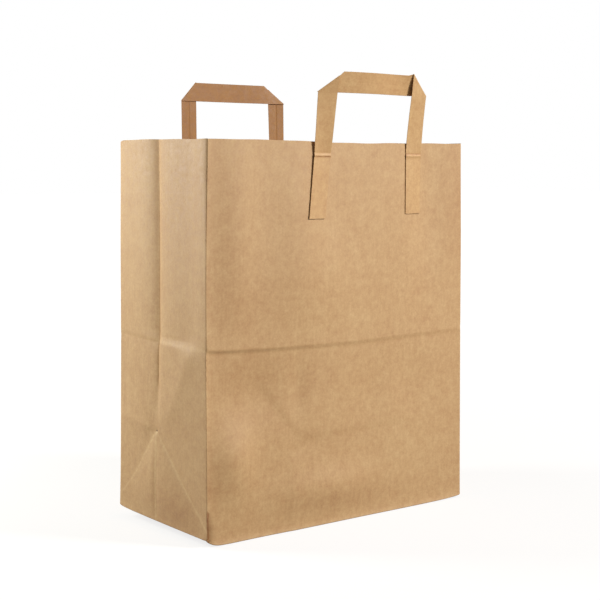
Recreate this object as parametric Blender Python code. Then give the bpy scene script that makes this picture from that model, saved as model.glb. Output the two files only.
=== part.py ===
# A paper carrier bag with flat tape handles, standing open.
#
# One sheet of kraft paper is glued into a tube with a gusset at each side and closed by a
# folded, glued bottom. A flat paper tape, folded over at 45 degrees at its two corners, is
# glued to the outside of the front panel, and another to the outside of the back panel.
#
# Metres, +Z up. The origin is on the surface the bag stands on, at the centre of the bottom.
# +X runs along the wide panels and the front panel faces -Y.

import math

import bmesh
import bpy

# Driving dimensions of the bag
bag_width = 0.260
bag_depth = 0.127
bag_height = 0.300
paper_thickness = 0.00015

# Folds of the sides
gusset_crease_from_front = 0.070
gusset_crease_inset_at_rim = 0.002
gusset_crease_inset_at_waist = 0.003
gusset_crease_inset_at_apex = 0.001
waist_crease_height = 0.144
waist_crease_inset = 0.0008

# The glued seam down the back panel
seam_overlap = 0.018
seam_centre_x = -0.046

# The folded bottom
bottom_flap_overlap = 0.024
glue_bond = 0.00001

# The handle tapes
tape_width = 0.016
tape_thickness = 0.0005
tape_panel_gap = 0.0003
tape_fold_radius = 0.0005
tape_fold_steps = 4
leg_length = 0.112
leg_bend_below_rim = 0.0095

# Where each handle sits: span is from outer edge to outer edge of its legs
front_handle_span = 0.114
front_handle_centre_x = 0.0245
front_handle_rise = 0.054
front_handle_lean = 0.0075
back_handle_span = 0.106
back_handle_centre_x = -0.0152
back_handle_rise = 0.048
back_handle_lean = 0.005

# Colours of the paper, linear
kraft_colour = (0.58, 0.39, 0.205, 1.0)
tape_colour = (0.59, 0.38, 0.185, 1.0)
paper_roughness = 0.85


def clear_scene():
    """Remove what the start-up file holds."""
    for thing in list(bpy.data.objects):
        bpy.data.objects.remove(thing, do_unlink=True)


def paper_material(name, colour):
    """A matt, uncoated paper."""
    material = bpy.data.materials.new(name)
    material.use_nodes = True
    shader = material.node_tree.nodes["Principled BSDF"]
    shader.inputs["Base Color"].default_value = colour
    shader.inputs["Roughness"].default_value = paper_roughness
    shader.inputs["Metallic"].default_value = 0.0
    return material


def object_from(name, points, faces):
    """A mesh object from points and faces, with its normals made consistent."""
    shape = bmesh.new()
    verts = [shape.verts.new(point) for point in points]
    for face in faces:
        shape.faces.new([verts[i] for i in face])
    bmesh.ops.recalc_face_normals(shape, faces=shape.faces)
    mesh = bpy.data.meshes.new(name)
    shape.to_mesh(mesh)
    shape.free()
    made = bpy.data.objects.new(name, mesh)
    bpy.context.scene.collection.objects.link(made)
    return made


def plate(name, outline, low, high):
    """A flat-bottomed solid: an outline in X and Y raised from low to high in Z."""
    count = len(outline)
    points = [(x, y, low) for x, y in outline] + [(x, y, high) for x, y in outline]
    faces = [tuple(range(count)), tuple(range(count, 2 * count))]
    faces += [(i, (i + 1) % count, (i + 1) % count + count, i + count) for i in range(count)]
    return object_from(name, points, faces)


def add_thickness(sheet, thickness, offset):
    """Give a sheet its thickness: offset -1 adds it inside, 0 on both sides."""
    solidify = sheet.modifiers.new("paper", "SOLIDIFY")
    solidify.thickness = thickness
    solidify.offset = offset
    solidify.use_even_offset = True


def glue(target, layer):
    """Join a hidden layer of paper to the target, as glue does."""
    union = target.modifiers.new("glued_" + layer.name, "BOOLEAN")
    union.operation = "UNION"
    union.solver = "EXACT"
    union.object = layer
    layer.hide_render = True
    layer.display_type = "WIRE"


def side_profile(inset, waist):
    """The tube's corners and gusset creases at one height, counter-clockwise from the front left.

    inset is how far the gusset creases are drawn in, and waist how far the wide panels are.
    """
    half_width = bag_width / 2
    half_depth = bag_depth / 2
    crease_y = gusset_crease_from_front - half_depth
    return [
        (-half_width, -half_depth + waist),
        (half_width, -half_depth + waist),
        (half_width - inset, crease_y),
        (half_width, half_depth - waist),
        (-half_width, half_depth - waist),
        (-half_width + inset, crease_y),
    ]


def tube_sheet(floor_height):
    """The outer face of the sheet: the tube with its creases, and the bottom it is closed by."""
    apex_height = gusset_crease_from_front
    rows = [
        (floor_height, side_profile(0.0, 0.0)),
        (apex_height, side_profile(gusset_crease_inset_at_apex, 0.0)),
        (waist_crease_height, side_profile(gusset_crease_inset_at_waist, waist_crease_inset)),
        (bag_height, side_profile(gusset_crease_inset_at_rim, 0.0)),
    ]
    around = len(rows[0][1])
    points = [(x, y, z) for z, outline in rows for x, y in outline]
    faces = [tuple(range(around))]

    # Each gusset's lowest band is folded along two lines from its bottom corners to the apex
    gusset_sides = {1: "before", 2: "after", 4: "before", 5: "after"}
    for row in range(len(rows) - 1):
        for i in range(around):
            j = (i + 1) % around
            a, b = row * around + i, row * around + j
            c, d = b + around, a + around
            side = gusset_sides.get(i) if row == 0 else None
            if side == "before":
                faces += [(a, b, c), (a, c, d)]
            elif side == "after":
                faces += [(a, b, d), (b, c, d)]
            else:
                faces.append((a, b, c, d))
    return object_from("bag_body", points, faces)


def bottom_flap(name, side, low, high):
    """A long bottom flap: full width at its fold, with 45 degree ends, reaching past the middle.

    side is -1 for the flap folded from the front panel and 1 for the one from the back.
    """
    reach = bag_depth / 2 + bottom_flap_overlap / 2
    half_width = bag_width / 2
    fold_y = side * bag_depth / 2
    free_y = fold_y - side * reach
    outline = [
        (-half_width, fold_y),
        (half_width, fold_y),
        (half_width - reach, free_y),
        (-half_width + reach, free_y),
    ]
    return plate(name, outline, low, high)


def end_flap(name, side, low, high):
    """A short flap folded in from a gusset, lying on the floor of the bag."""
    reach = bag_depth / 2 + bottom_flap_overlap / 2
    wall = paper_thickness / 2
    outer_x = side * (bag_width / 2 - wall)
    inner_x = side * (bag_width / 2 - reach)
    half_depth = bag_depth / 2 - wall
    outline = [
        (outer_x, -half_depth),
        (inner_x, -half_depth),
        (inner_x, half_depth),
        (outer_x, half_depth),
    ]
    return plate(name, outline, low, high)


def make_bag_body():
    """The sheet, its overlapping seam and its folded bottom, as one body of paper."""
    # From below: the back flap, the front flap, the bottom, then the end flaps inside
    front_flap_low = paper_thickness
    floor_low = 2 * paper_thickness
    floor_high = 3 * paper_thickness
    body = tube_sheet(floor_low)
    add_thickness(body, paper_thickness, -1.0)
    glue(body, bottom_flap("front_flap", -1, front_flap_low, floor_low + glue_bond))
    glue(body, bottom_flap("back_flap", 1, 0.0, floor_low + glue_bond))
    for side, name in ((-1, "left_end_flap"), (1, "right_end_flap")):
        glue(body, end_flap(name, side, floor_high - glue_bond, floor_high + paper_thickness))
    glue(body, seam_layer(floor_high - glue_bond))
    body.data.materials.append(paper_material("kraft_paper", kraft_colour))
    return body


def seam_layer(low):
    """The inner ply where the sheet's two long edges overlap, following the back panel."""
    x0 = seam_centre_x - seam_overlap / 2
    x1 = seam_centre_x + seam_overlap / 2
    outer = bag_depth / 2 - paper_thickness + glue_bond
    rows = [
        (low, outer),
        (gusset_crease_from_front, outer),
        (waist_crease_height, outer - waist_crease_inset),
        (bag_height, outer),
    ]
    points = []
    for z, y in rows:
        inner_y = y - paper_thickness - glue_bond
        points += [(x0, y, z), (x1, y, z), (x1, inner_y, z), (x0, inner_y, z)]
    faces = [(0, 1, 2, 3)]
    for row in range(len(rows) - 1):
        for i in range(4):
            j = (i + 1) % 4
            a, b = row * 4 + i, row * 4 + j
            faces.append((a, b, b + 4, a + 4))
    top = (len(rows) - 1) * 4
    faces.append((top, top + 1, top + 2, top + 3))
    return object_from("seam_ply", points, faces)


class TapeSheet:
    """The middle surface of one handle, laid out as it lies against a panel.

    u runs along the panel, z up, and v away from the panel's outer face.
    """

    def __init__(self, side, centre_x, rise, lean):
        self.side = side
        self.centre_x = centre_x
        self.rise = rise
        self.lean = lean
        self.bend_z = bag_height - leg_bend_below_rim
        self.top_z = bag_height + rise
        self.points = []
        self.faces = []

    def stand_off(self, z):
        """How far the legs stand from the panel: glued below the bend, leaning out above it."""
        glued = tape_panel_gap + tape_thickness / 2
        free = max(0.0, z - self.bend_z) / (self.top_z - self.bend_z)
        return glued + self.lean * free

    def point(self, u, z, behind):
        """Add a point, set back from the leg's surface by behind, and give its number."""
        v = self.stand_off(z) - behind
        y = self.side * (bag_depth / 2 + v)
        self.points.append((self.centre_x + u, y, z))
        return len(self.points) - 1


def handle_leg(sheet, outer_u, inner_u):
    """One leg, up to the fold line of its corner. Gives the fold line's two points."""
    end_z = sheet.top_z - leg_length
    shoulder_z = sheet.top_z - tape_width
    middle_z = (bag_height + shoulder_z) / 2
    previous = None
    for z in (end_z, sheet.bend_z, bag_height, middle_z, shoulder_z):
        row = (sheet.point(outer_u, z, 0.0), sheet.point(inner_u, z, 0.0))
        if previous:
            sheet.faces.append((previous[0], previous[1], row[1], row[0]))
        previous = row
    tip = sheet.point(inner_u, sheet.top_z, 0.0)
    sheet.faces.append((previous[0], previous[1], tip))
    return previous[0], tip


def corner_fold(sheet, line, outer_u, inner_u):
    """The rounded fold along the corner's 45 degree line. Gives its far edge's two points."""
    shoulder_z = sheet.top_z - tape_width
    outward = 1.0 if outer_u > inner_u else -1.0
    for step in range(1, tape_fold_steps + 1):
        angle = math.pi * step / tape_fold_steps
        reach = tape_fold_radius * math.sin(angle) / math.sqrt(2)
        behind = tape_fold_radius * (1 - math.cos(angle))
        low = sheet.point(outer_u + outward * reach, shoulder_z + reach, behind)
        high = sheet.point(inner_u + outward * reach, sheet.top_z + reach, behind)
        sheet.faces.append((line[0], line[1], high, low))
        line = (low, high)
    return line


def make_handle(name, side, span, centre_x, rise, lean):
    """A tape that runs up one leg, folds over to run across, and folds again down the other."""
    sheet = TapeSheet(side, centre_x, rise, lean)
    ends = []
    for sign in (-1.0, 1.0):
        outer_u = sign * span / 2
        inner_u = sign * (span / 2 - tape_width)
        fold_line = handle_leg(sheet, outer_u, inner_u)
        ends.append(corner_fold(sheet, fold_line, outer_u, inner_u))
    (left_low, left_high), (right_low, right_high) = ends

    # The grip, behind both legs, from one fold to the other
    sheet.faces.append((left_low, right_low, right_high, left_high))
    handle = object_from(name, sheet.points, sheet.faces)
    add_thickness(handle, tape_thickness, 0.0)
    handle.data.materials.append(paper_material(name + "_paper", tape_colour))
    return handle


def main():
    clear_scene()
    make_bag_body()
    make_handle(
        "front_handle",
        -1,
        front_handle_span,
        front_handle_centre_x,
        front_handle_rise,
        front_handle_lean,
    )
    make_handle(
        "back_handle",
        1,
        back_handle_span,
        back_handle_centre_x,
        back_handle_rise,
        back_handle_lean,
    )


main()
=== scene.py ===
# The looks of a paper carrier bag with flat tape handles, standing open on a pale floor.
#
# The bag is one thin sheet, folded round into a tube and closed by its bottom flaps. Each
# handle is a tape of folded paper, folded over at 45 degrees at its two corners. Both are grids
# of points on a flat sheet, and functions say where each point ends up. Metres, +Z up.

import math

import bpy
import numpy as np
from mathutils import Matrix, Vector


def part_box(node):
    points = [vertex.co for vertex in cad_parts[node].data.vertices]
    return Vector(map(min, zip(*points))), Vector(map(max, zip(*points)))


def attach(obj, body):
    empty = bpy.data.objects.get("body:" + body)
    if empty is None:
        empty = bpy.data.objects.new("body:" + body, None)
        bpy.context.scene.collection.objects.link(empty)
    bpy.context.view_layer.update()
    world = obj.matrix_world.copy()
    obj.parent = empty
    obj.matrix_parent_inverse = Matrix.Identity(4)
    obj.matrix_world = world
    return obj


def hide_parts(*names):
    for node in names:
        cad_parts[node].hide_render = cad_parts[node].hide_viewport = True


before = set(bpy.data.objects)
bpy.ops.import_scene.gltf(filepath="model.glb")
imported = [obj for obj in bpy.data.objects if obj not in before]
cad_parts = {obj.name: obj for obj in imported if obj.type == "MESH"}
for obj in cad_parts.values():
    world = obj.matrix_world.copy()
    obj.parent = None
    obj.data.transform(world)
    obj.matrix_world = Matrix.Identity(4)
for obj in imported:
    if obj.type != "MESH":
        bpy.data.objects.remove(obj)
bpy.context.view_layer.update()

# Sizes of the bag, from the CAD model
body_low, body_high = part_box("bag_body")
width = body_high.x - body_low.x
depth = body_high.y - body_low.y
height = body_high.z
girth = 2 * (width + depth)

# The paper
paper_thickness = 0.00016
fold_radius = 0.0003
bottom_fold_radius = 0.0008
turned_in = 0.006

# The lengthwise seam, on the back panel. Its outer ply steps out by seam_step thicknesses.
seam_x = -0.037
seam_overlap = 0.018
seam_ramp = 0.003
seam_step = 1.35
free_edge_reach = 0.004
free_edge_lift = 0.00015
sheet_start = -depth - (seam_x - body_low.x)
seam_end = sheet_start + girth

# The folds of a gusset: its lengthwise crease and the point where the bottom's folds meet
crease_at_rim = 0.0716
crease_at_waist = 0.0699
apex_from_front = 0.0712
apex_height = 0.078
waist_height = 0.147
fold_slope_behind = 1.23
gusset_rows = 42

# Heights of the fold at the waist: at a gusset's three folds, and on the wide panels
waist_at_folds = (0.1464, 0.1476, 0.1508)
waist_on_panels = 0.1426

# Where the bag and its bottom lie on the sheet that the material sees
sheet_zero = (sheet_start, -0.1)
bottom_aside = (0.4, 0.3)


# Helpers for shapes


def smooth(value, start, end):
    """0 before start and 1 after end, with a smooth rise between them."""
    part = np.clip((value - start) / (end - start), 0.0, 1.0)
    return part * part * (3 - 2 * part)


def bump(value, centre, spread):
    """A soft hump of height 1."""
    return np.exp(-(((value - centre) / spread) ** 2))


def fade(away, reach):
    """1 at a line and less away from it on both sides."""
    return np.exp(-np.abs(away) / reach)


def near_edges(along, length, reach):
    """0 at both ends of a panel and 1 away from them."""
    return (1 - fade(along, reach)) * (1 - fade(length - along, reach))


def graded(stops, coarse, fine, growth):
    """Positions from the first stop to the last, close together near every stop."""
    found = [[stops[0]]]
    for start, end, step in zip(stops[:-1], stops[1:], coarse):
        at = np.linspace(start, end, 2000)
        from_stop = np.minimum(at - start, end - at)
        density = 1 / np.minimum(step, fine + growth * from_stop)
        count = np.concatenate([[0], np.cumsum((density[1:] + density[:-1]) / 2 * np.diff(at))])
        pieces = max(1, math.ceil(count[-1]))
        found.append(np.interp(np.linspace(0, count[-1], pieces + 1), count, at)[1:])
    return np.concatenate(found)


wave_count = 18


def undulations(seed, along, up, length, amount):
    """Low, soft waves of the paper, mostly upright, alike in each run."""
    draw = np.random.default_rng(seed)
    total = 0.0
    for _ in range(wave_count):
        middle = draw.uniform(0, length)
        level = draw.uniform(0, height)
        wide = draw.uniform(0.01, 0.03)
        tall = wide * draw.uniform(1.5, 4.0)
        total += draw.uniform(-1, 1) * bump(along, middle, wide) * bump(up, level, tall)
    return amount * total


# Shape of the standing bag: how far the paper stands out from a flat panel at each place

# How the corners differ from a true box's: (x, y) at the bottom, halfway up and at the rim,
# then how far the bottom lifts off the floor and how far the rim rises
corner_moves = {
    "front_left": ((-0.0033, -0.0008), (-0.0034, -0.0009), (-0.002, -0.0009), 0.0052, 0.002),
    "front_right": ((0.0005, 0.0), (-0.0011, 0.0), (-0.0027, -0.001), 0.0015, 0.0012),
    "back_right": ((0.0004, 0.001), (0.0, 0.0), (-0.001, -0.0015), 0.0014, 0.0016),
    "back_left": ((-0.0026, -0.0022), (0.0002, -0.0022), (0.0, -0.0038), 0.008, 0.0028),
}

# Which way each corner points, and where it is along the folded sheet
corner_signs = dict(zip(corner_moves, ((-1, -1), (1, -1), (1, 1), (-1, 1))))
corner_ways = dict(zip(corner_moves, (0.0, width, width + depth, 2 * width + depth)))

# A gusset's bottom edge lifts off the floor all along, a wide panel's only near its corners
lift_reach_at_start = 0.004
lift_reach_at_end = 0.014
lift_fades_at = 0.045

# One corner is kicked up a little further
kicked_corner = "back_left"
corner_kick = 0.0014
kick_reach = 0.008
lift_reach_at_kick = 0.04

# At the waist every corner is dented a little
corner_dents = dict.fromkeys(corner_moves, 0.0001) | {"front_left": 0.0003}
dent_reach = 0.005
dent_half_height = 0.003

# The rim is worn down at one corner
worn_corner = "back_left"
worn_depth = 0.0024
worn_reach = 0.003
worn_height = 0.01

# The sides of each gusset curl in where they meet the wide panels, most at the rim
curl_at_rim = 0.0013
curl_below = 0.0001


def curl(up):
    return curl_below + (curl_at_rim - curl_below) * smooth(up, 0.21, height)


def curl_reach(up):
    return 0.001 + 0.0016 * smooth(up, 0.2, height)


def crease_line(up):
    """How far from the front a gusset's lengthwise crease is."""
    levels = (apex_height, apex_height + 0.01, waist_height, height)
    places = (apex_from_front, crease_at_waist + 0.0003, crease_at_waist, crease_at_rim)
    return np.interp(up, levels, places)


def waist_on_wide(along):
    """Height of the fold at the waist along the front or back panel."""
    return waist_on_panels + 0.0036 * fade(along, 0.045) + 0.0018 * smooth(along, 0.13, 0.26)


def waist_on_gusset(from_front):
    """Height of the fold at the waist across a gusset."""
    return np.interp(from_front, (0.0, crease_at_waist, depth), waist_at_folds)


def below_waist(up, level, half_width, reach):
    """0 above the fold at the waist and 1 just below it, coming back to 0 lower down."""
    below = 1 - smooth(up, level - half_width, level + half_width)
    return below * fade(np.maximum(level - up, 0), reach)


def waist_in_wide(along, up):
    """The fold at the waist of the front or back: the paper under it stands back a little."""
    level = waist_on_wide(along)
    below = -0.0005 * below_waist(up, level, 0.0015, 0.06)
    over = 0.0005 * smooth(up, level - 0.0015, level + 0.0015)
    over *= fade(np.maximum(up - level, 0), 0.009)
    return (below + over) * (1.35 - 0.95 * along / width)


def rim_rise_in_front(along):
    """The rim of the front panel is a little higher at its left end than in its middle."""
    left_end = 0.0017 * (1 - smooth(along, 0.066, 0.135))
    return 0.0001 + left_end + 0.0006 * smooth(along, 0.145, 0.185)


# Soft swells of the front panel: place along it and up it, reach both ways, and height
front_swells = (
    (0.028, 0.235, 0.018, 0.08, 0.0024),
    (0.088, 0.24, 0.024, 0.065, 0.0026),
    (0.222, 0.255, 0.02, 0.07, -0.0022),
    (0.096, 0.188, 0.046, 0.04, 0.0018),
    (0.044, 0.108, 0.036, 0.024, -0.0024),
    (0.086, 0.112, 0.008, 0.026, -0.0009),
    (0.025, 0.06, 0.018, 0.028, 0.0044),
    (0.115, 0.03, 0.05, 0.016, 0.0028),
    (0.19, 0.105, 0.035, 0.025, -0.001),
)
back_swells = (
    (0.06, 0.2, 0.024, 0.06, 0.002),
    (0.205, 0.225, 0.018, 0.07, 0.0015),
    (0.13, 0.11, 0.04, 0.035, 0.0022),
    (0.215, 0.045, 0.022, 0.028, 0.0026),
    (0.12, 0.03, 0.055, 0.017, 0.0022),
)

# Slight creases where a wide panel was bent: start, end, depth and reach
front_dents = (
    ((0.052, 0.114), (0.088, 0.073), 0.0003, 0.008),
    ((0.083, 0.063), (0.1, 0.068), 0.0005, 0.005),
    ((0.149, 0.3), (0.149, 0.262), 0.0003, 0.003),
)
back_dents = (
    ((0.18, 0.11), (0.15, 0.078), 0.0009, 0.008),
    ((0.15, 0.078), (0.05, 0.072), 0.0006, 0.006),
)

# Soft steps of the front panel: start, end and height. The paper stands out on their right.
front_steps = (
    ((0.088, 0.072), (0.05, 0.118), 0.0005),
    ((0.205, 0.0748), (0.088, 0.0725), 0.0004),
    ((0.078, -0.01), (0.076, 0.06), 0.0005),
)

# The slit beside the front left corner, where the fold has come unstuck
slit_depth = 0.003
slit_place = 0.0014
slit_height = 0.028


def beside_line(along, up, start, end):
    """How far along a line and to the right of it each point is, and the line's length."""
    way = (end[0] - start[0], end[1] - start[1])
    length = math.hypot(*way)
    right, over = along - start[0], up - start[1]
    along_line = (right * way[0] + over * way[1]) / length
    return along_line, (right * way[1] - over * way[0]) / length, length


def dented(along, up, dents):
    total = 0.0
    for start, end, deep, reach in dents:
        along_line, beside, length = beside_line(along, up, start, end)
        away = np.hypot(along_line - np.clip(along_line, 0, length), beside)
        total -= deep * fade(np.hypot(away, 0.0012), reach)
    return total


def stepped(along, up, steps):
    total = 0.0
    for start, end, rise in steps:
        along_line, beside, length = beside_line(along, up, start, end)
        begun = smooth(along_line, -0.006, 0.01)
        ended = smooth(along_line, length - 0.01, length + 0.006)
        side = smooth(beside, -0.0034, 0.0034) * fade(np.maximum(beside, 0), 0.018)
        total += rise * side * begun * (1 - ended)
    return total


def swollen(along, up, swells):
    total = 0.0
    for centre, level, wide, tall, rise in swells:
        total += rise * bump(along, centre, wide) * bump(up, level, tall)
    return total


def wide_shape(along, up, inside, waves, swells, dents):
    """What the front and back panels share. inside is 0 at their edges and 1 away from them."""
    belly = 0.0012 * np.sin(math.pi * along / width) * np.sin(math.pi * (up / height))
    lip = 0.0008 * fade(up, 0.003)
    shape = belly + waves + swollen(along, up, swells) + dented(along, up, dents)
    edges = near_edges(along, width, 0.0015)
    return inside * shape + edges * (waist_in_wide(along, up) + lip)


def front_shape(along, up):
    inside = near_edges(along, width, 0.006)
    waves = undulations(11, along, up, width, 0.0005)
    shape = wide_shape(along, up, inside, waves, front_swells, front_dents)
    crimped = -0.0009 * (1 - fade(along, 0.0045)) * (1 - along / width)
    slit = along / slit_place * np.exp(1 - along / slit_place)
    slit = -slit_depth * (1 - smooth(up, 0.004, slit_height)) * slit
    return shape + inside * stepped(along, up, front_steps) + crimped + slit


def back_shape(along, up):
    inside = near_edges(along, width, 0.009)
    waves = undulations(23, along, up, width, 0.0006)
    return wide_shape(along, up, inside, waves, back_swells, back_dents)


# Shape of a gusset. off is how far a point is behind the crease, and below 0 in front of it.


def above_waist(up):
    return smooth(up, waist_height - 0.01, waist_height + 0.01)


def back_part(off, crease):
    """How far from the crease to the back edge a point is, as a share."""
    return np.clip(off / (depth - crease), 0, 1)


def gusset_above_apex(from_front, off, up, crease):
    """A soft ridge runs from the front edge down to the apex, and the crease is drawn in."""
    in_front = off < 0
    upper = above_waist(up)
    ridge = np.interp(up, (apex_height, waist_height), (0.06, 0.018))
    ridge = 0.0016 * fade(np.hypot(from_front - ridge, 0.002), 0.018) * smooth(-off, 0.0, 0.008)
    full_back = 0.0006 * np.sin(math.pi * back_part(off, crease))
    full = np.where(in_front, ridge * (1 - upper), full_back)
    deep = 0.0003 + 0.0016 * smooth(up, 0.086, 0.125) + 0.0015 * upper
    reach = np.where(in_front, 0.0052 + 0.0034 * upper, 0.0026 + 0.0052 * upper)
    drawn_in = -deep * fade(off, reach)
    return smooth(up, apex_height - 0.002, apex_height + 0.022) * (full + drawn_in)


def gusset_above_waist(from_front, off, up):
    """The front half falls back from its edge and then fills out."""
    fallen = 0.001 * smooth(from_front, 0.004, 0.024)
    filled = 0.0015 * smooth(from_front, 0.024, 0.062)
    return (filled - fallen) * above_waist(up) * smooth(-off, -0.002, 0.006)


def gusset_below_apex(off, up, crease):
    """The tent between the two folds that run down from the apex.

    Gives its shape, and how far from its fold to the edge a point outside it is, as a share.
    """
    in_front = off < 0
    half = np.maximum(apex_height - up, 1e-6)
    reach_of_fold = half / np.where(in_front, 1.0, fold_slope_behind)
    part = np.clip(np.abs(off) / reach_of_fold, 0, 1)
    to_edge = np.maximum(np.where(in_front, crease, depth - crease) - reach_of_fold, 1e-4)
    beyond = np.clip((np.abs(off) - reach_of_fold) / to_edge, 0, 1)
    height_of_tent = np.sin(math.pi * np.clip(half / apex_height, 0, 1)) ** 0.8
    front_side = 0.0017 - 0.0013 * part - 0.0016 * part**5 + 0.0011 * beyond
    back_side = (0.0023 - 0.0019 * part) * (1 - beyond)
    centre_fold = -0.0013 * fade(off, np.where(in_front, 0.0026, 0.003))
    return height_of_tent * (np.where(in_front, front_side, back_side) + centre_fold), beyond


def fold_behind_apex(off, up, crease, beyond):
    """A slight fold runs on level from the apex to the back edge."""
    level = apex_height + 0.0065 * back_part(off, crease)
    outside = np.where(up > apex_height, 1.0, smooth(beyond, 0.0, 0.3))
    return 0.0016 * fade(up - level, 0.012) * smooth(off, 0.0, 0.02) * outside


def waist_in_gusset(from_front, off, up):
    """The front half steps out below the fold at the waist, and the back half steps in."""
    level = waist_on_gusset(from_front)
    stepped_out = 0.0008 * below_waist(up, level, 0.0026, 0.022)
    stepped_out -= 0.0003 * bump(up, level + 0.0042, 0.0013)
    stepped_out *= smooth(-off, 0.0, 0.004) * (0.15 + 0.85 * smooth(from_front, 0.012, 0.042))
    stepped_in = -0.0005 * below_waist(up, level, 0.0013, 0.03) * smooth(off, 0.0, 0.004)
    return stepped_out + stepped_in


def gusset_shape(from_front, up, seed):
    crease = crease_line(up)
    off = from_front - crease
    tent, beyond = gusset_below_apex(off, up, crease)
    dimple = -0.0011 * fade(np.hypot(off, up - apex_height), 0.0012)
    waves = undulations(seed, from_front, up, depth, 0.0003)
    shape = gusset_above_apex(from_front, off, up, crease) + tent + dimple + waves
    shape += fold_behind_apex(off, up, crease, beyond)
    shape *= near_edges(from_front, depth, 0.008)
    upper = gusset_above_waist(from_front, off, up) + waist_in_gusset(from_front, off, up)
    shape += upper * near_edges(from_front, depth, 0.002)

    reach = curl_reach(up)
    curled = (1 - fade(from_front, reach)) * (1 - from_front / depth)
    curled += (1 - fade(depth - from_front, reach)) * from_front / depth
    lip = 0.0007 * fade(up, 0.0025) * near_edges(from_front, depth, 0.0015)
    return shape + curl(up) * curled + lip


def corner_place(corner, up):
    """(x, y) of a corner's fold at each height."""
    moves = corner_moves[corner][:3]
    sign_x, sign_y = corner_signs[corner]
    share = up / height
    weights = ((1 - share) * (1 - 2 * share), 4 * share * (1 - share), share * (2 * share - 1))
    x, y = (sum(w * move[axis] for w, move in zip(weights, moves)) for axis in (0, 1))
    return sign_x * (width / 2) + x - sign_x * curl(up), sign_y * (depth / 2) + y


# The panels round the bag: length, outward direction, corners at start and end, and shape
panels = (
    (width, (0, -1), "front_left", "front_right", front_shape),
    (depth, (1, 0), "front_right", "back_right", lambda a, h: gusset_shape(a, h, 37)),
    (width, (0, 1), "back_right", "back_left", back_shape),
    (depth, (-1, 0), "back_left", "front_left", lambda a, h: gusset_shape(depth - a, h, 41)),
)


def tube_points(along, up):
    """Where points of the folded sheet are, from their places along and up it."""
    way = np.mod(along, girth)
    x, y, lift, rise, wear = np.zeros((5, *way.shape))
    start = 0.0
    for length, outward, first, second, shape in panels:
        here = (way >= start) & (way < start + length)
        at, level = way[here] - start, up[here]
        share = at / length
        x0, y0 = corner_place(first, level)
        x1, y1 = corner_place(second, level)
        out = shape(at, level)
        x[here] = x0 + (x1 - x0) * share + outward[0] * out
        y[here] = y0 + (y1 - y0) * share + outward[1] * out
        for corner, far in ((first, at), (second, length - at)):
            dent = corner_dents[corner] * bump(level, waist_height, dent_half_height)
            dent *= fade(far, dent_reach)
            x[here] -= corner_signs[corner][0] * dent
            y[here] -= corner_signs[corner][1] * dent
            if corner == worn_corner:
                worn = worn_depth * fade(far, worn_reach)
                wear[here] = worn * smooth(level, height - worn_height, height)
        lift0, rise0 = corner_moves[first][3:]
        lift1, rise1 = corner_moves[second][3:]
        if outward[0]:
            lift[here] = lift0 + (lift1 - lift0) * share
            if first == kicked_corner:
                lift[here] += corner_kick * fade(at, kick_reach)
        else:
            reach = lift_reach_at_end
            if second == kicked_corner:
                lift1 += corner_kick
                reach = lift_reach_at_kick
            lift[here] = lift0 * fade(at, lift_reach_at_start) + lift1 * fade(length - at, reach)
        rise[here] = rise0 + (rise1 - rise0) * share
        if outward == (0, -1):
            rise[here] = rim_rise_in_front(at)
        start += length

    # A fold has a small radius
    for corner, at in corner_ways.items():
        away = np.mod(way - at + girth / 2, girth) - girth / 2
        rounding = fold_radius * np.log1p(fade(away, fold_radius))
        x -= corner_signs[corner][0] * rounding
        y -= corner_signs[corner][1] * rounding

    rim_wave = 0.00015 * np.sin(along * 61) + 0.00012 * np.sin(along * 143 + 1)
    raised = (up / height) ** 2 * (rise + rim_wave)
    z = up + raised - wear + (1 - smooth(up, 0.0, lift_fades_at)) * lift
    return np.stack([x, y, z], axis=-1)


# Meshes


def grid_normals(points):
    """Unit normals of a grid of points, to the right of its rows' direction."""
    normals = np.cross(np.gradient(points, axis=1), np.gradient(points, axis=0))
    return normals / np.linalg.norm(normals, axis=-1, keepdims=True)


def grid_faces(number, turned, rising):
    """Triangles over a grid of numbered points, turned the other way if asked.

    rising says which columns of cells are cut from the lower left to the upper right.
    """
    a, b, c, d = number[:-1, :-1], number[:-1, 1:], number[1:, 1:], number[1:, :-1]
    one = np.stack([a, b, np.where(rising, c, d)], axis=-1)
    two = np.stack([np.where(rising, a, b), c, d], axis=-1)
    faces = np.concatenate([one, two]).reshape(-1, 3)
    return faces[:, ::-1] if turned else faces


def sheet_of_paper(points, sheet, rising=False):
    """A sheet from a grid of points on its outer face. Gives points, faces and sheet places."""
    inner = points - grid_normals(points) * paper_thickness
    verts = np.concatenate([points, inner]).reshape(-1, 3)
    places = np.concatenate([sheet, sheet]).reshape(-1, 2)
    rows, columns = points.shape[:2]
    count = rows * columns
    number = np.arange(count).reshape(rows, columns)
    outer_faces = grid_faces(number, False, rising)
    inner_faces = grid_faces(number + count, True, rising)
    border = [number[0, :], number[1:, -1], number[-1, -2::-1], number[-2:0:-1, 0]]
    border = np.concatenate(border)
    after = np.roll(border, -1)
    edge_one = np.stack([after, border, border + count], axis=-1)
    edge_two = np.stack([after, border + count, after + count], axis=-1)
    return verts, np.concatenate([outer_faces, inner_faces, edge_one, edge_two]), places


def new_object(name, data):
    made = bpy.data.objects.new(name, data)
    bpy.context.scene.collection.objects.link(made)
    return made


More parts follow.
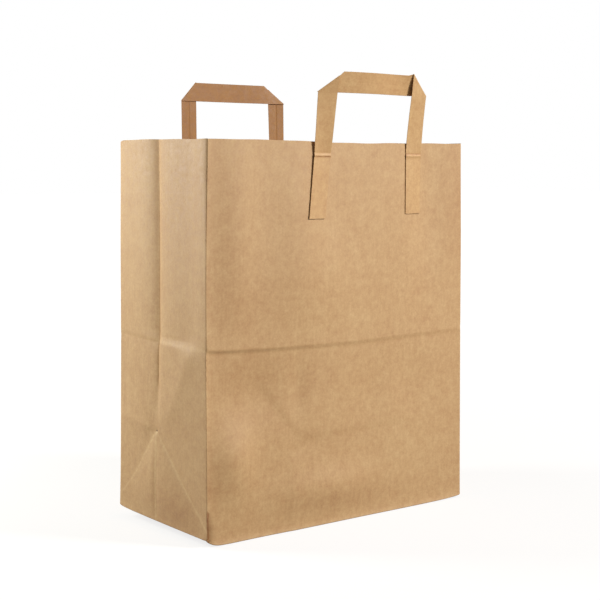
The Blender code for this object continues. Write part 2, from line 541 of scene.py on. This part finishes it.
def mesh_object(name, parts, material):
    """One object from several (points, faces, sheet places)."""
    firsts = np.cumsum([0] + [len(part[0]) for part in parts])
    verts = np.concatenate([part[0] for part in parts])
    faces = np.concatenate([part[1] + first for part, first in zip(parts, firsts)])
    places = np.concatenate([part[2] for part in parts])
    mesh = bpy.data.meshes.new(name)
    mesh.from_pydata(verts, [], faces.tolist())
    layer = mesh.uv_layers.new(name="sheet")
    layer.uv.foreach_set("vector", places[faces.reshape(-1)].astype(np.float32).ravel())
    mesh.shade_smooth()
    mesh.set_sharp_from_angle(angle=math.radians(38))
    mesh.materials.append(material)
    mesh.validate()
    return new_object(name, mesh)


# The bag

# The bottom's layers lie this many paper thicknesses over its underside
floor_layer = 3.2
front_flap_layer = 1.6
back_flap_layer = 0.3
end_flap_layer = 4.8
side_gap = 0.0006
flap_overlap = 0.012
end_flap_taper = 0.002


def gusset_columns():
    """Where the columns of a gusset are, from its front: each row meets the bottom's folds."""
    cell = apex_height / gusset_rows
    beside_fold = np.array([0.0, 0.00025, 0.0006, 0.0011])
    ahead = np.arange(apex_from_front % cell, apex_from_front + cell / 2, cell)
    behind = np.arange(apex_from_front, depth, cell / fold_slope_behind)[1:]
    ahead = ahead[ahead > 0.0019]
    behind = behind[behind < depth - 0.0019]
    return np.concatenate([beside_fold, ahead, behind, depth - beside_fold[::-1]])


def tube_grid():
    """Where the tube's points are on the sheet, and which way each column's cells are cut."""
    across = gusset_columns()
    back_end = graded([sheet_start, -depth], [0.006], 0.0003, 0.24)
    front = graded([0.0, width], [0.0031], 0.0003, 0.16)
    back_start = graded([width + depth, seam_end], [0.006], 0.0003, 0.24)
    flap = graded([seam_end, seam_end + seam_overlap], [0.003], 0.0003, 0.24)
    runs = [back_end, -across[::-1][1:], front[1:], width + across[1:], back_start[1:], flap[1:]]
    columns = np.concatenate(runs)
    low = np.linspace(0, apex_height, gusset_rows + 1)
    high = graded([apex_height, waist_height, height], [0.0036, 0.005], 0.0009, 0.12)
    rows = np.concatenate([[0.0, 0.0004, 0.0009], low[1:], high[1:]])
    up = np.repeat(rows[:, None], len(columns), axis=1)

    # The columns on both sides of a gusset's crease follow it
    along = np.empty(up.shape)
    stops = [sheet_start, -depth, -apex_from_front, 0.0, width, width + apex_from_front]
    stops += [width + depth, seam_end + seam_overlap]
    for row, level in enumerate(rows):
        moved = list(stops)
        moved[2] = -crease_line(level)
        moved[5] = width + crease_line(level)
        along[row] = np.interp(columns, stops, moved)
    middle = (columns[1:] + columns[:-1]) / 2
    rising = (middle < -apex_from_front) | ((middle > width) & (middle < width + apex_from_front))
    return along, up, columns, rising


def rolled_under(ring, along):
    """Rows below the bottom edge, where the sheet rolls in under the bag, and their places."""
    radius = bottom_fold_radius
    angles = np.radians([22, 45, 68, 90])
    below = [(radius * (1 - math.cos(angle)), radius * math.sin(angle)) for angle in angles]
    below += [(turned_in / 2, radius), (turned_in, radius)]
    rows, places = [], []
    for inset, drop in reversed(below):
        shrunk = (1 - inset / (width / 2), 1 - inset / (depth / 2), 1.0)
        rows.append(ring * shrunk - (0.0, 0.0, drop))
        places.append(np.stack([along, np.full(len(along), -inset - drop)], axis=-1))
    return rows, places


def tube_part():
    """The sheet round the four sides, from seam to seam, turned in at the bottom."""
    along, up, columns, rising = tube_grid()
    points = tube_points(along, up)

    # The last stretch of the sheet lies outside the first
    over = smooth(columns, seam_end - seam_ramp, seam_end)
    points[..., 1] += over * seam_step * paper_thickness
    sheet_end = seam_end + seam_overlap
    free_edge = smooth(columns, sheet_end - free_edge_reach, sheet_end)
    points[..., 1] += free_edge * free_edge_lift * (1 + np.sin(up * 90))

    points[..., 2] += (bottom_fold_radius + 2 * paper_thickness) * fade(up, 0.004)
    rows, places = rolled_under(points[0], along[0])
    points = np.concatenate([rows, points])
    sheet = np.concatenate([places, np.stack([along, up], axis=-1)]) - sheet_zero
    return sheet_of_paper(points, sheet, rising)


def bottom_lift(x, y):
    """How far the bottom lifts off the floor towards its two short ends."""
    middle = np.clip(1 - np.abs(y) / (depth / 2), 0, 1)
    back = np.clip(0.5 + y / depth, 0, 1)
    total = 0.0
    for side, front, behind in ((-1, "front_left", "back_left"), (1, "front_right", "back_right")):
        low, high = corner_moves[front][3], corner_moves[behind][3]
        from_end = np.maximum(width / 2 - side * x, 0)
        reach = 0.02 + 0.03 * middle
        if behind == kicked_corner:
            high += corner_kick
            reach += 0.02 * back**6
        total += (low + (high - low) * back) * fade(from_end, reach)
    return total


def plate_part(corners, layer, seed):
    """One flat layer of the bottom from four corners (x, y), with its outer face down."""
    level = layer * paper_thickness
    across = np.linspace(0, 1, 40)[None, :, None]
    over = np.linspace(0, 1, 12)[:, None, None]
    a, b, c, d = np.array(corners)
    flat = (1 - over) * ((1 - across) * a + across * b) + over * ((1 - across) * d + across * c)
    x, y = np.moveaxis(flat, -1, 0)
    wave = undulations(seed, x + width / 2, y + 0.15, width, 0.00008)
    z = level + np.maximum(wave, -level / 2) + bottom_lift(x, y)
    points = np.concatenate([flat, z[..., None]], axis=-1)
    return sheet_of_paper(points, flat + bottom_aside)


def bottom_parts():
    """The floor of the bag, the two long flaps below it and the two end flaps on it."""
    half_width = width / 2 - side_gap
    half_depth = depth / 2 - side_gap
    reach = half_depth + flap_overlap
    floor = [(half_width * x, half_depth * y) for x, y in ((-1, 1), (1, 1), (1, -1), (-1, -1))]
    parts = [plate_part(floor, floor_layer, 5)]
    for side, layer in ((-1, front_flap_layer), (1, back_flap_layer)):
        edge = side * half_depth
        free = edge - side * reach
        short = half_width - reach
        flap = [(-half_width, edge), (half_width, edge), (short, free), (-short, free)]
        parts.append(plate_part(flap[::side], layer, 7 + side))
    for side in (-1, 1):
        edge = side * half_width
        free = edge - side * reach
        short = half_depth - end_flap_taper
        flap = [(edge, -half_depth), (free, -short), (free, short), (edge, half_depth)]
        parts.append(plate_part(flap[::side], end_flap_layer, 13 + side))
    return parts


# The handles

tape_thickness = 0.00048
tape_edge = 0.0001
corner_radius = 0.00034
leg_bend_below_rim = 0.0081
glue_line = paper_thickness * 0.2

# A pressed ridge just under each leg's bend and a shallow groove over it: height, how far above
# the bend it is, and half its width
pressed_lines = ((0.00052, -0.0016, 0.001), (-0.00012, 0.0006, 0.0012))

# Where each tape lies on the sheet that the material sees
tape_aside = {"front_handle": 0.0, "back_handle": 0.2}

# Sizes of each handle in metres. seam_gap is how far apart its strip's edges are, shift how far
# it is to the right of its CAD solid and over how far above it. The grip's corners hang by
# drops. At the grip the tape stands out by lean and bow, more on one side by skew, upright
# turns it back up and tipped lowers it. right_cut shortens the right leg, and corner_gap holds
# the grip off behind it. slants are the slopes of the legs' glued parts, left_lift and
# right_lift how far each leg's edges lift off the panel, and curves how late each leg leans out.
tape_shapes = {
    "front_handle": dict(
        tape_width=0.017, seam_gap=0.00002, span=0.1136, shift=-0.001, over=0.0007,
        drops=(0.0036, -0.001), lean=0.0056, bow=0.004, skew=0.6, upright=0.1, tipped=0.06,
        right_cut=0.0018, corner_gap=0.0042, slants=(0.125, 0.0), left_lift=(0.0009, 0.0001),
        right_lift=(0.0008, 0.0002), curves=(0.95, 1.35),
    ),
    "back_handle": dict(
        tape_width=0.0152, seam_gap=0.00016, span=0.1056, shift=-0.0013, over=0.002,
        drops=(0.0, 0.0034), lean=0.0008, bow=0.0026, skew=-0.5, upright=0.9, tipped=0.0,
        right_cut=0.0, corner_gap=0.0008, slants=(0.03, -0.02), left_lift=(0.0002, 0.0004),
        right_lift=(0.001, 0.0002), curves=(1.0, 1.0),
    ),
}


def tape_section(tape_width, seam_gap):
    """The outline of the tape's section: across it, and out from its middle surface.

    The tape is folded from one strip, whose edges leave a fine gap in its inner face.
    """
    half = tape_thickness / 2
    face = [tape_edge, *np.linspace(0.001, tape_width - 0.001, 11), tape_width - tape_edge]
    middle = tape_width / 2
    gap = seam_gap / 2
    under_right = [tape_width - tape_edge, tape_width - 0.001, tape_width * 0.8]
    under_right += [middle + 0.0016, middle + gap + 0.00012]
    gap_floor = [middle + gap, middle - gap]
    under_left = [tape_width - value for value in reversed(under_right)]
    across = face + [tape_width] * 2 + under_right + gap_floor + under_left + [0.0] * 2
    under = [-half] * len(under_right)
    out = [half] * len(face) + [half / 2, -half / 2] + under + [gap - half] * 2 + under
    out += [-half / 2, half / 2]
    return np.array(across), np.array(out)


def flat_tape(span, leg, tape_width, seam_gap, shoulder, bend):
    """The folded tape before it is bent, as rows of points round its section.

    Gives each point's (u, z, out), its place on the tape and whether it is on its inner face.
    u runs across the handle from the left, and out is away from the bag.
    """
    across, out = tape_section(tape_width, seam_gap)
    end = shoulder + tape_width - leg
    root = math.sqrt(0.5)
    rows, lengths, inner = [], [], []

    def add(u, z, behind, turn, fold_u, way):
        """Add a row: its middle surface, how far round the fold it is, and its way so far."""
        ahead = math.cos(turn) * out
        beside = math.sin(turn) * root * out
        rows.append(np.stack([u + fold_u * beside, z + beside, ahead - behind], axis=-1))
        lengths.append(np.stack([across, way], axis=-1))
        inner.append((ahead < 0).astype(float))

    def fold_rows(turns, u, sign, way):
        for turn in np.radians(turns):
            reach = corner_radius * math.sin(turn) * root
            behind = corner_radius * (1 - math.cos(turn))
            add(u + sign * reach, shoulder + across + reach, behind, turn, sign, way)

    levels = graded([end, bend, shoulder], [0.0017, 0.0015], 0.0004, 0.14)
    sheared = across[None, :] * smooth(levels, bend + 0.006, shoulder)[:, None]
    for level, shear in zip(levels, sheared):
        add(across, level + shear, 0.0, 0.0, -1, level + shear - end)
    fold_rows(np.linspace(0, 180, 9)[1:], across, -1, shoulder + across - end)
    for part in np.linspace(0, 1, 72)[1:]:
        u = across + part * (span - 2 * across)
        add(u, shoulder + across, 2 * corner_radius, math.pi, 1, leg + u)
    fold_rows(np.linspace(180, 0, 9)[1:], span - across, 1, leg + span - across)
    for level, shear in zip(levels[::-1][1:], sheared[::-1][1:]):
        way = leg + span + shoulder - level - shear
        add(span - across, level + shear, 0.0, 0.0, 1, way)
    return np.stack(rows), np.stack(lengths), np.stack(inner)


def tape_top(name):
    """Height of the top edge of a handle's grip."""
    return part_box(name)[1].z + tape_shapes[name]["over"]


def tape_points(name, side):
    """What flat_tape gives, moved to where the handle stands, side -1 in front and 1 behind."""
    low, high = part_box(name)
    top = tape_top(name)
    shape = tape_shapes[name]
    span = shape["span"]
    left = (low.x + high.x - span) / 2 + shape["shift"]
    leg = top - low.z
    tape_width = shape["tape_width"]
    shoulder = top - tape_width
    bend = height - leg_bend_below_rim
    flat, sheet, inner = flat_tape(span, leg, tape_width, shape["seam_gap"], shoulder, bend)
    u, z, out = np.moveaxis(flat, -1, 0)

    free = np.maximum(z - bend, 0) / (shoulder - bend)
    glued = np.maximum(bend - z, 0)
    right_leg = u > span / 2
    on_leg = out > -corner_radius
    share = np.clip(u / span, 0, 1)

    # Above the bend the legs lean out, and the grip bows out between them and stands upright
    curve = shape["curves"][0] + (shape["curves"][1] - shape["curves"][0]) * share
    above = np.maximum(free - 1, 0) * (1 - shape["upright"] * np.sin(math.pi * share))
    rise = np.minimum(free, 1) ** curve + above
    bow = shape["bow"] * 4 * share * (1 - share) * (1 + shape["skew"] * (1 - 2 * share))
    stand = rise * (shape["lean"] + bow)

    # The right corner isn't pressed flat, so the grip stands off behind its leg
    off_fold = np.maximum(span + shoulder - u - z, 0) * math.sqrt(0.5)
    opened = shape["corner_gap"] * (1 - fade(off_fold, 0.01)) * smooth(share, 0.4, 0.92)
    stand -= np.where(on_leg, 0.0, opened)

    # The edges of each leg lift off the panel, most at the bend
    from_left = np.where(right_leg, u - (span - tape_width), u) / tape_width
    fading = 0.55 + 0.45 * smooth(z, bend - 0.035, bend)
    fading *= (1 - 0.8 * smooth(z, bend + 0.008, shoulder)) * on_leg
    for lifts, nearness in ((shape["left_lift"], 1 - from_left), (shape["right_lift"], from_left)):
        lift = np.where(right_leg, lifts[1], lifts[0])
        stand += fading * lift * np.clip(nearness, 0, 1) ** 2

    for rise_of_line, above_bend, half_width in pressed_lines:
        stand += rise_of_line * bump(z, bend + above_bend, half_width) * on_leg

    # The upper corners of the grip hang a little lower than its middle
    hang = 0.0
    for drop, from_corner in zip(shape["drops"], (u - tape_width, span - tape_width - u)):
        reach = max(drop * tape_width / (tape_width - drop), 0.004)
        hang += drop * np.clip(1 - from_corner / reach, 0, 1)
    z = z - (hang + shape["tipped"] * tape_width) * np.clip((z - shoulder) / tape_width, 0, 1)

    # One leg may be cut a little shorter
    z = z + np.where(right_leg, shape["right_cut"], 0.0) * (1 - smooth(z, low.z, bend))

    slant = np.where(right_leg, shape["slants"][1], shape["slants"][0])
    x = left + u - slant * glued
    along = x + width / 2 if side < 0 else width + depth + width / 2 - x
    panel = tube_points(along, np.clip(z, 0, height))[..., 1]
    near_rim = (z > bend) & (z < height)
    means = [np.mean(panel[near_rim & ~right_leg]), np.mean(panel[near_rim & right_leg])]
    still = smooth(z, bend, height)
    panel = panel * (1 - still) + (means[0] + (means[1] - means[0]) * share) * still
    y = panel + side * (glue_line + tape_thickness / 2 + stand + out)
    return np.stack([x, y, z], axis=-1), sheet, inner


def tape_faces(rows, columns, turned):
    """Faces round the tape from row to row and over its two ends, turned round if asked."""
    number = np.arange(rows * columns).reshape(rows, columns)
    after = np.roll(number, -1, axis=1)
    quads = np.stack([number[:-1], after[:-1], after[1:], number[1:]], axis=-1).reshape(-1, 4)
    if turned:
        quads = quads[:, ::-1]
    ends = []
    for ring, is_first in ((number[0], True), (number[-1], False)):
        for i in range(columns // 2 - 1):
            quad = [ring[i], ring[i + 1], ring[columns - 2 - i], ring[columns - 1 - i]]
            ends.append(quad if is_first == turned else quad[::-1])
    return np.concatenate([quads, np.array(ends)])


def tape_object(name, side, material):
    points, sheet, inner = tape_points(name, side)
    faces = tape_faces(*points.shape[:2], side > 0)
    places = sheet.reshape(-1, 2) + (tape_aside[name], 0.0)
    made = mesh_object(name + "_tape", [(points.reshape(-1, 3), faces, places)], material)
    layer = made.data.attributes.new("inner", "FLOAT", "POINT")
    layer.data.foreach_set("value", inner.astype(np.float32).ravel())
    return made


# Materials


class Graph:
    """Short ways to add and join the nodes of a material or a world."""

    def __init__(self, owner):
        owner.use_nodes = True
        self.tree = owner.node_tree

    def node(self, kind, inputs=(), **settings):
        made = self.tree.nodes.new(kind)
        for key, value in settings.items():
            setattr(made, key, value)
        for key, value in dict(inputs).items():
            self.give(made.inputs[key], value)
        return made

    def give(self, socket, value):
        if isinstance(value, bpy.types.NodeSocket):
            self.tree.links.new(value, socket)
        else:
            socket.default_value = value

    def math(self, operation, a, b=0.0):
        return self.node("ShaderNodeMath", {0: a, 1: b}, operation=operation).outputs[0]

    def vector(self, operation, a, b=(0.0, 0.0, 0.0)):
        """The result is a vector, or a number for the operations that give one."""
        made = self.node("ShaderNodeVectorMath", {0: a, 1: b}, operation=operation)
        is_number = operation in ("DOT_PRODUCT", "DISTANCE", "LENGTH")
        return made.outputs["Value" if is_number else "Vector"]

    def noise(self, sheet, size, detail, squeeze, seed):
        """Noise from 0 to 1 whose spots are about size across, in metres, and size / squeeze up."""
        scale = (1 / size, squeeze / size, 1 / size)
        inputs = {"Vector": sheet, "Scale": scale, "Location": (seed, seed * 0.7, seed * 1.3)}
        placed = self.node("ShaderNodeMapping", inputs)
        inputs = {"Vector": placed.outputs[0], "Scale": 1.0, "Detail": detail}
        return self.node("ShaderNodeTexNoise", inputs).outputs["Fac"]

    def between(self, value, low, high, to_low, to_high, kind="LINEAR"):
        inputs = {0: value, 1: low, 2: high, 3: to_low, 4: to_high}
        return self.node("ShaderNodeMapRange", inputs, interpolation_type=kind).outputs[0]

    def line(self, sheet, start, end, reach, strength):
        """strength on a straight line across the sheet, falling to 0 at reach from it."""
        start, end = np.array(start), np.array(end)
        length = float(np.linalg.norm(end - start))
        way = (end - start) / length
        parts = []
        for direction in (way, (-way[1], way[0])):
            dot = self.vector("DOT_PRODUCT", sheet, (*direction, 0.0))
            parts.append(self.math("SUBTRACT", dot, float(np.dot(direction, start))))
        before = self.math("MAXIMUM", self.math("MULTIPLY", parts[0], -1.0), 0.0)
        past = self.math("MAXIMUM", self.math("SUBTRACT", parts[0], length), 0.0)
        beyond = self.math("ADD", before, past)
        distance = self.math("ADD", self.math("ABSOLUTE", parts[1]), beyond)
        return self.between(distance, 0.0, reach, strength, 0.0)

    def patch(self, sheet, along, up, across, tall, amount):
        """amount at a place on the sheet, falling softly to 0 at across and tall from it."""
        away = self.vector("SUBTRACT", sheet, (along, up, 0.0))
        scaled = self.vector("MULTIPLY", away, (1 / across, 1 / tall, 0.0))
        return self.between(self.vector("LENGTH", scaled), 0.0, 1.0, amount, 0.0, "SMOOTHSTEP")

    def added(self, values):
        total = values[0]
        for value in values[1:]:
            total = self.math("ADD", total, value)
        return total


def new_material(name):
    """A material, the graph of its nodes and the inputs of its shader."""
    material = bpy.data.materials.new(name)
    graph = Graph(material)
    return material, graph, graph.tree.nodes["Principled BSDF"].inputs


# Noises of the pulp: size, detail, squeeze, seed, and how much darker or paler the tone gets
pulp_noises = {
    "clouds": (0.03, 2.0, 1.0, 3.1, 0.03),
    "blots": (0.01, 2.0, 1.0, 4.6, 0.05),
    "mottle": (0.0042, 2.0, 1.0, 7.7, 0.06),
    "grain": (0.0013, 2.0, 1.0, 1.9, 0.07),
    "fibres": (0.002, 2.0, 0.22, 5.3, 0.03),
    "ribs": (0.0024, 1.0, 0.05, 6.1, 0.02),
}
relief_shares = {"grain": 0.45, "fibres": 0.35, "mottle": 0.75}
worn_share = 8.0
# Pin holes are painted dark with the shade seen through them: reach, and how much darker
hole_reach = 0.0009
hole_painted_shade = -1.6
lowest_tone = 0.1

# A darker tone is also a little redder
tone_powers = (0.8, 1.3, 1.7)


def pulp(graph, sheet):
    """What makes up the paper's tone, and the noises of its pulp by name."""
    noises, tones = {}, []
    for name, (size, detail, squeeze, seed, most) in pulp_noises.items():
        noises[name] = graph.noise(sheet, size, detail, squeeze, seed)
        tones.append(graph.between(noises[name], 0.3, 0.7, -most, most))
    flecks = graph.noise(sheet, 0.0009, 1.0, 0.4, 9.1)
    tones.append(graph.between(flecks, 0.7, 0.78, 0.0, -0.1))
    tones.append(graph.between(flecks, 0.3, 0.22, 0.0, 0.08))
    return tones, noises


def paper_material(name, colour, gloss, folds, holes, patches, shaded_inner_colour=None):
    """Uncoated kraft paper: a mottled brown with fibres and flecks. Its folds are paler, partly
    from wear and partly a painted highlight, some creases carry painted shade, and its pin holes
    are painted dark with the shade seen through them.
    """
    material, graph, shader = new_material(name)
    sheet = graph.node("ShaderNodeUVMap", uv_map="sheet").outputs[0]
    tones, noises = pulp(graph, sheet)

    # Darker and paler patches: on the bag they are painted shade and painted light, on the handles
    # darker patches
    tones += [graph.patch(sheet, *patch) for patch in patches]

    # Along folds the paper is paler, partly worn and partly a painted highlight. The darker lines
    # are painted shade in the slit, along the gussets' bottom edges and across the handles' bends.
    # All show more here and less there.
    worn = graph.added([graph.line(sheet, *fold) for fold in folds])
    broken = graph.between(graph.noise(sheet, 0.005, 3.0, 1.0, 2.2), 0.3, 0.7, 0.45, 1.0)
    worn = graph.math("MULTIPLY", worn, broken)
    tones.append(worn)
    # Each pin hole is painted dark: the shade seen through it
    for hole in holes:
        apart = graph.vector("DISTANCE", sheet, (*hole, 0.0))
        tones.append(graph.between(apart, hole_reach * 0.6, hole_reach, hole_painted_shade, 0.0))

    # The handles' inner faces take a darker colour: painted shade
    if shaded_inner_colour:
        side = graph.node("ShaderNodeAttribute", attribute_name="inner").outputs["Fac"]
        mix = graph.node("ShaderNodeMix", data_type="RGBA")
        graph.give(mix.inputs["Factor"], side)
        graph.give(mix.inputs["A"], (*colour, 1.0))
        graph.give(mix.inputs["B"], (*shaded_inner_colour, 1.0))
        colour = mix.outputs["Result"]
    level = graph.math("MAXIMUM", graph.math("ADD", graph.added(tones), 1.0), lowest_tone)
    factors = [graph.math("POWER", level, power) for power in tone_powers]
    tint = graph.node("ShaderNodeCombineXYZ", dict(enumerate(factors)))
    graph.give(shader["Base Color"], graph.vector("MULTIPLY", colour, tint.outputs[0]))

    # Matt, a little smoother where the paper was pressed
    graph.give(shader["Roughness"], graph.between(noises["mottle"], 0.3, 0.7, 0.52, 0.64))
    shader["Specular IOR Level"].default_value = gloss
    shader["Sheen Weight"].default_value = 0.04
    shader["Sheen Roughness"].default_value = 0.6

    reliefs = [graph.math("MULTIPLY", noises[name], most) for name, most in relief_shares.items()]
    relief = graph.added([*reliefs, graph.math("MULTIPLY", worn, worn_share)])
    inputs = {"Strength": 0.6, "Distance": 0.0001, "Height": relief}
    graph.give(shader["Normal"], graph.node("ShaderNodeBump", inputs).outputs[0])
    return material


def on_sheet(along, up):
    """A place on the bag's sheet as the material counts it."""
    return (along - sheet_zero[0], up - sheet_zero[1])


def bag_folds():
    """Lines along folds: start, end, how wide and how strongly each shows. Paler lines are partly
    worn paper and partly painted highlight, and darker lines are painted shade.
    """
    # Painted shade in the slit beside the front left corner
    lines = [((0.0014, 0.0), (0.0006, 0.025), 0.002, -0.85)]
    # Paler along the four corners: partly worn, partly painted highlight
    for corner in (-depth, 0.0, width, width + depth):
        lines.append(((corner, 0.0), (corner, height), 0.001, 0.1))
    near_end = apex_height - apex_from_front
    far_end = apex_height - (depth - apex_from_front) * fold_slope_behind
    for edge, way in ((0.0, -1), (width, 1)):
        far = edge + way * depth
        apex = (edge + way * apex_from_front, apex_height)
        rim = (edge + way * crease_at_rim, height)
        waist = (edge + way * crease_at_waist, waist_on_gusset(crease_at_waist))
        lines += [
            # Paler along the gusset's folds: partly worn, partly painted highlight
            (apex, (edge, near_end), 0.0019, 0.24),
            (apex, (far, far_end), 0.0021, 0.2),
            (apex, (apex[0], 0.0), 0.0017, 0.28),
            (rim, apex, 0.001, 0.08),
            ((edge, waist_on_gusset(0.0)), waist, 0.002, 0.06),
            (waist, (far, waist_on_gusset(depth)), 0.002, 0.06),
            # Painted shade along the gusset's bottom edge
            ((edge, 0.0), (far, 0.0), 0.0024, -0.16),
        ]
    return [(on_sheet(*start), on_sheet(*end), reach, power) for start, end, reach, power in lines]


# Patches of painted shade (darker) and painted light (paler) on the bag: along and up the sheet,
# reach across and up, amount
painted_shading_patches = (
    (0.03, 0.175, 0.045, 0.06, -0.06),
    (-0.045, 0.016, 0.05, 0.034, -0.17),
    (0.2, 0.055, 0.075, 0.04, 0.07),
    (0.04, 0.125, 0.055, 0.03, -0.07),
    (0.004, 0.045, 0.014, 0.04, -0.08),
    (0.125, 0.019, 0.07, 0.014, -0.07),
    (0.094, 0.112, 0.014, 0.03, -0.06),
    (0.016, 0.24, 0.018, 0.09, -0.04),
    (0.256, 0.255, 0.026, 0.09, -0.11),
    (0.062, 0.092, 0.026, 0.026, -0.06),
    (0.13, 0.16, 0.05, 0.04, 0.04),
    (-0.028, 0.26, 0.05, 0.11, -0.09),
    (-0.105, 0.2, 0.03, 0.07, 0.03),
)


# The painted shade line across each leg: how far below its bend, and how much higher on the right
# leg
shade_line_below_bend = 0.0025
right_shade_line_higher = 0.0024


def tape_bend_shade_lines():
    """Lines of painted shade where each leg of a handle bends off the bag."""
    lines = []
    line_height = height - leg_bend_below_rim - shade_line_below_bend
    for name, shape in tape_shapes.items():
        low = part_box(name)[0].z
        whole = 2 * (tape_top(name) - low) + shape["span"] - shape["tape_width"]
        first = line_height - low
        start, end = tape_aside[name] - 0.01, tape_aside[name] + 0.03
        for way in (first, whole - first - right_shade_line_higher):
            lines.append(((start, way), (end, way), 0.001, -0.45))
    return lines


kraft_colour = (0.56, 0.338, 0.15)
tape_colour = (0.602, 0.358, 0.149)
# A darker colour for the handles' inner faces: painted shade
shaded_tape_inner = (0.321, 0.133, 0.019)
# Darker patches on the front handle's tape: along and up its sheet, reach across and up, amount
tape_patches = (
    (0.008, 0.178, 0.06, 0.05, -0.06),
    (0.008, 0.02, 0.06, 0.045, -0.05),
    (0.008, 0.335, 0.06, 0.045, -0.06),
)

patches = [(*on_sheet(along, up), *rest) for along, up, *rest in painted_shading_patches]
holes = [on_sheet(apex, apex_height) for apex in (-apex_from_front, width + apex_from_front)]
kraft = paper_material("kraft_paper", kraft_colour, 0.65, bag_folds(), holes, patches)
tape = paper_material("handle_tape", tape_colour, 0.6, tape_bend_shade_lines(), (), tape_patches, shaded_tape_inner)

bag = mesh_object("bag", [tube_part(), *bottom_parts()], kraft)
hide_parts("bag_body")
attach(bag, "root")

for node, side in (("front_handle", -1), ("back_handle", 1)):
    piece = tape_object(node, side, tape)
    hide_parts(node)
    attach(piece, "root")


# Floor and background: near white to the camera


def seen_directly(graph):
    """1 for rays from the camera, and for those that gloss or glass sends on."""
    rays = graph.node("ShaderNodeLightPath").outputs
    sent_on = graph.math("MAXIMUM", rays["Is Glossy Ray"], rays["Is Transmission Ray"])
    return graph.math("MAXIMUM", rays["Is Camera Ray"], sent_on)


def floor_material():
    """A pale floor that takes the bag's shadow and fades to white further out."""
    material, graph, shader = new_material("pale_floor")
    shader["Base Color"].default_value = (0.24, 0.233, 0.226, 1.0)
    shader["Roughness"].default_value = 0.9
    shader["Specular IOR Level"].default_value = 0.0
    place = graph.node("ShaderNodeTexCoord").outputs["Object"]
    glow = graph.between(graph.vector("LENGTH", place), 0.25, 1.1, 0.8, 1.0)
    graph.give(shader["Emission Strength"], graph.math("MULTIPLY", glow, seen_directly(graph)))
    return material


floor_size = 12.0
corners = [(x * floor_size, y * floor_size, 0) for x, y in ((-1, -1), (1, -1), (1, 1), (-1, 1))]
floor_mesh = bpy.data.meshes.new("floor")
floor_mesh.from_pydata(corners, [], [(0, 1, 2, 3)])
floor_mesh.materials.append(floor_material())
floor = new_object("floor", floor_mesh)

world = bpy.data.worlds.new("studio")
bpy.context.scene.world = world
sky = Graph(world)
to_objects = sky.node("ShaderNodeBackground", {"Color": (1.0, 0.93, 0.84, 1.0), "Strength": 0.22})
to_camera = sky.node("ShaderNodeBackground", {"Color": (1.0, 1.0, 1.0, 1.0)})
inputs = {0: seen_directly(sky), 1: to_objects.outputs[0], 2: to_camera.outputs[0]}
chosen = sky.node("ShaderNodeMixShader", inputs).outputs[0]
sky.give(sky.tree.nodes["World Output"].inputs["Surface"], chosen)


# Light: a soft source behind and above to the left, and one in front to the right


def soft_light(name, place, aim, size, power, colour, spread=180):
    data = bpy.data.lights.new(name, "AREA")
    data.spread = math.radians(spread)
    data.shape = "RECTANGLE"
    data.size, data.size_y = size
    data.energy = power
    data.color = colour
    made = new_object(name, data)
    made.location = place
    made.rotation_euler = (Vector(aim) - Vector(place)).to_track_quat("-Z", "Y").to_euler()
    made.visible_camera = False


middle = (0.0, 0.0, height / 2)
upper = (0.03, -0.06, 0.22)
soft_light("left_back", (-0.56, 0.5, 0.45), middle, (0.28, 0.34), 5.4, (0.97, 0.98, 0.9))
soft_light("right_front", (1.06, -1.48, 1.15), upper, (0.5, 0.6), 4.9, (1.0, 0.98, 0.95), 60)

# Camera, at the photograph's place
camera_place = (-0.7026, -0.8919, 0.2814)
camera_yaw = math.radians(38.44)
camera_pitch = math.radians(-5.48)
focal_pixels = 1384.0
photo_pixels = 600
camera_data = bpy.data.cameras.new("camera")
camera_data.lens = camera_data.sensor_width * focal_pixels / photo_pixels
camera = new_object("camera", camera_data)
camera.location = camera_place
camera.rotation_euler = (math.pi / 2 + camera_pitch, 0.0, -camera_yaw)
bpy.context.scene.camera = camera
bpy.context.scene.view_settings.view_transform = "Standard"
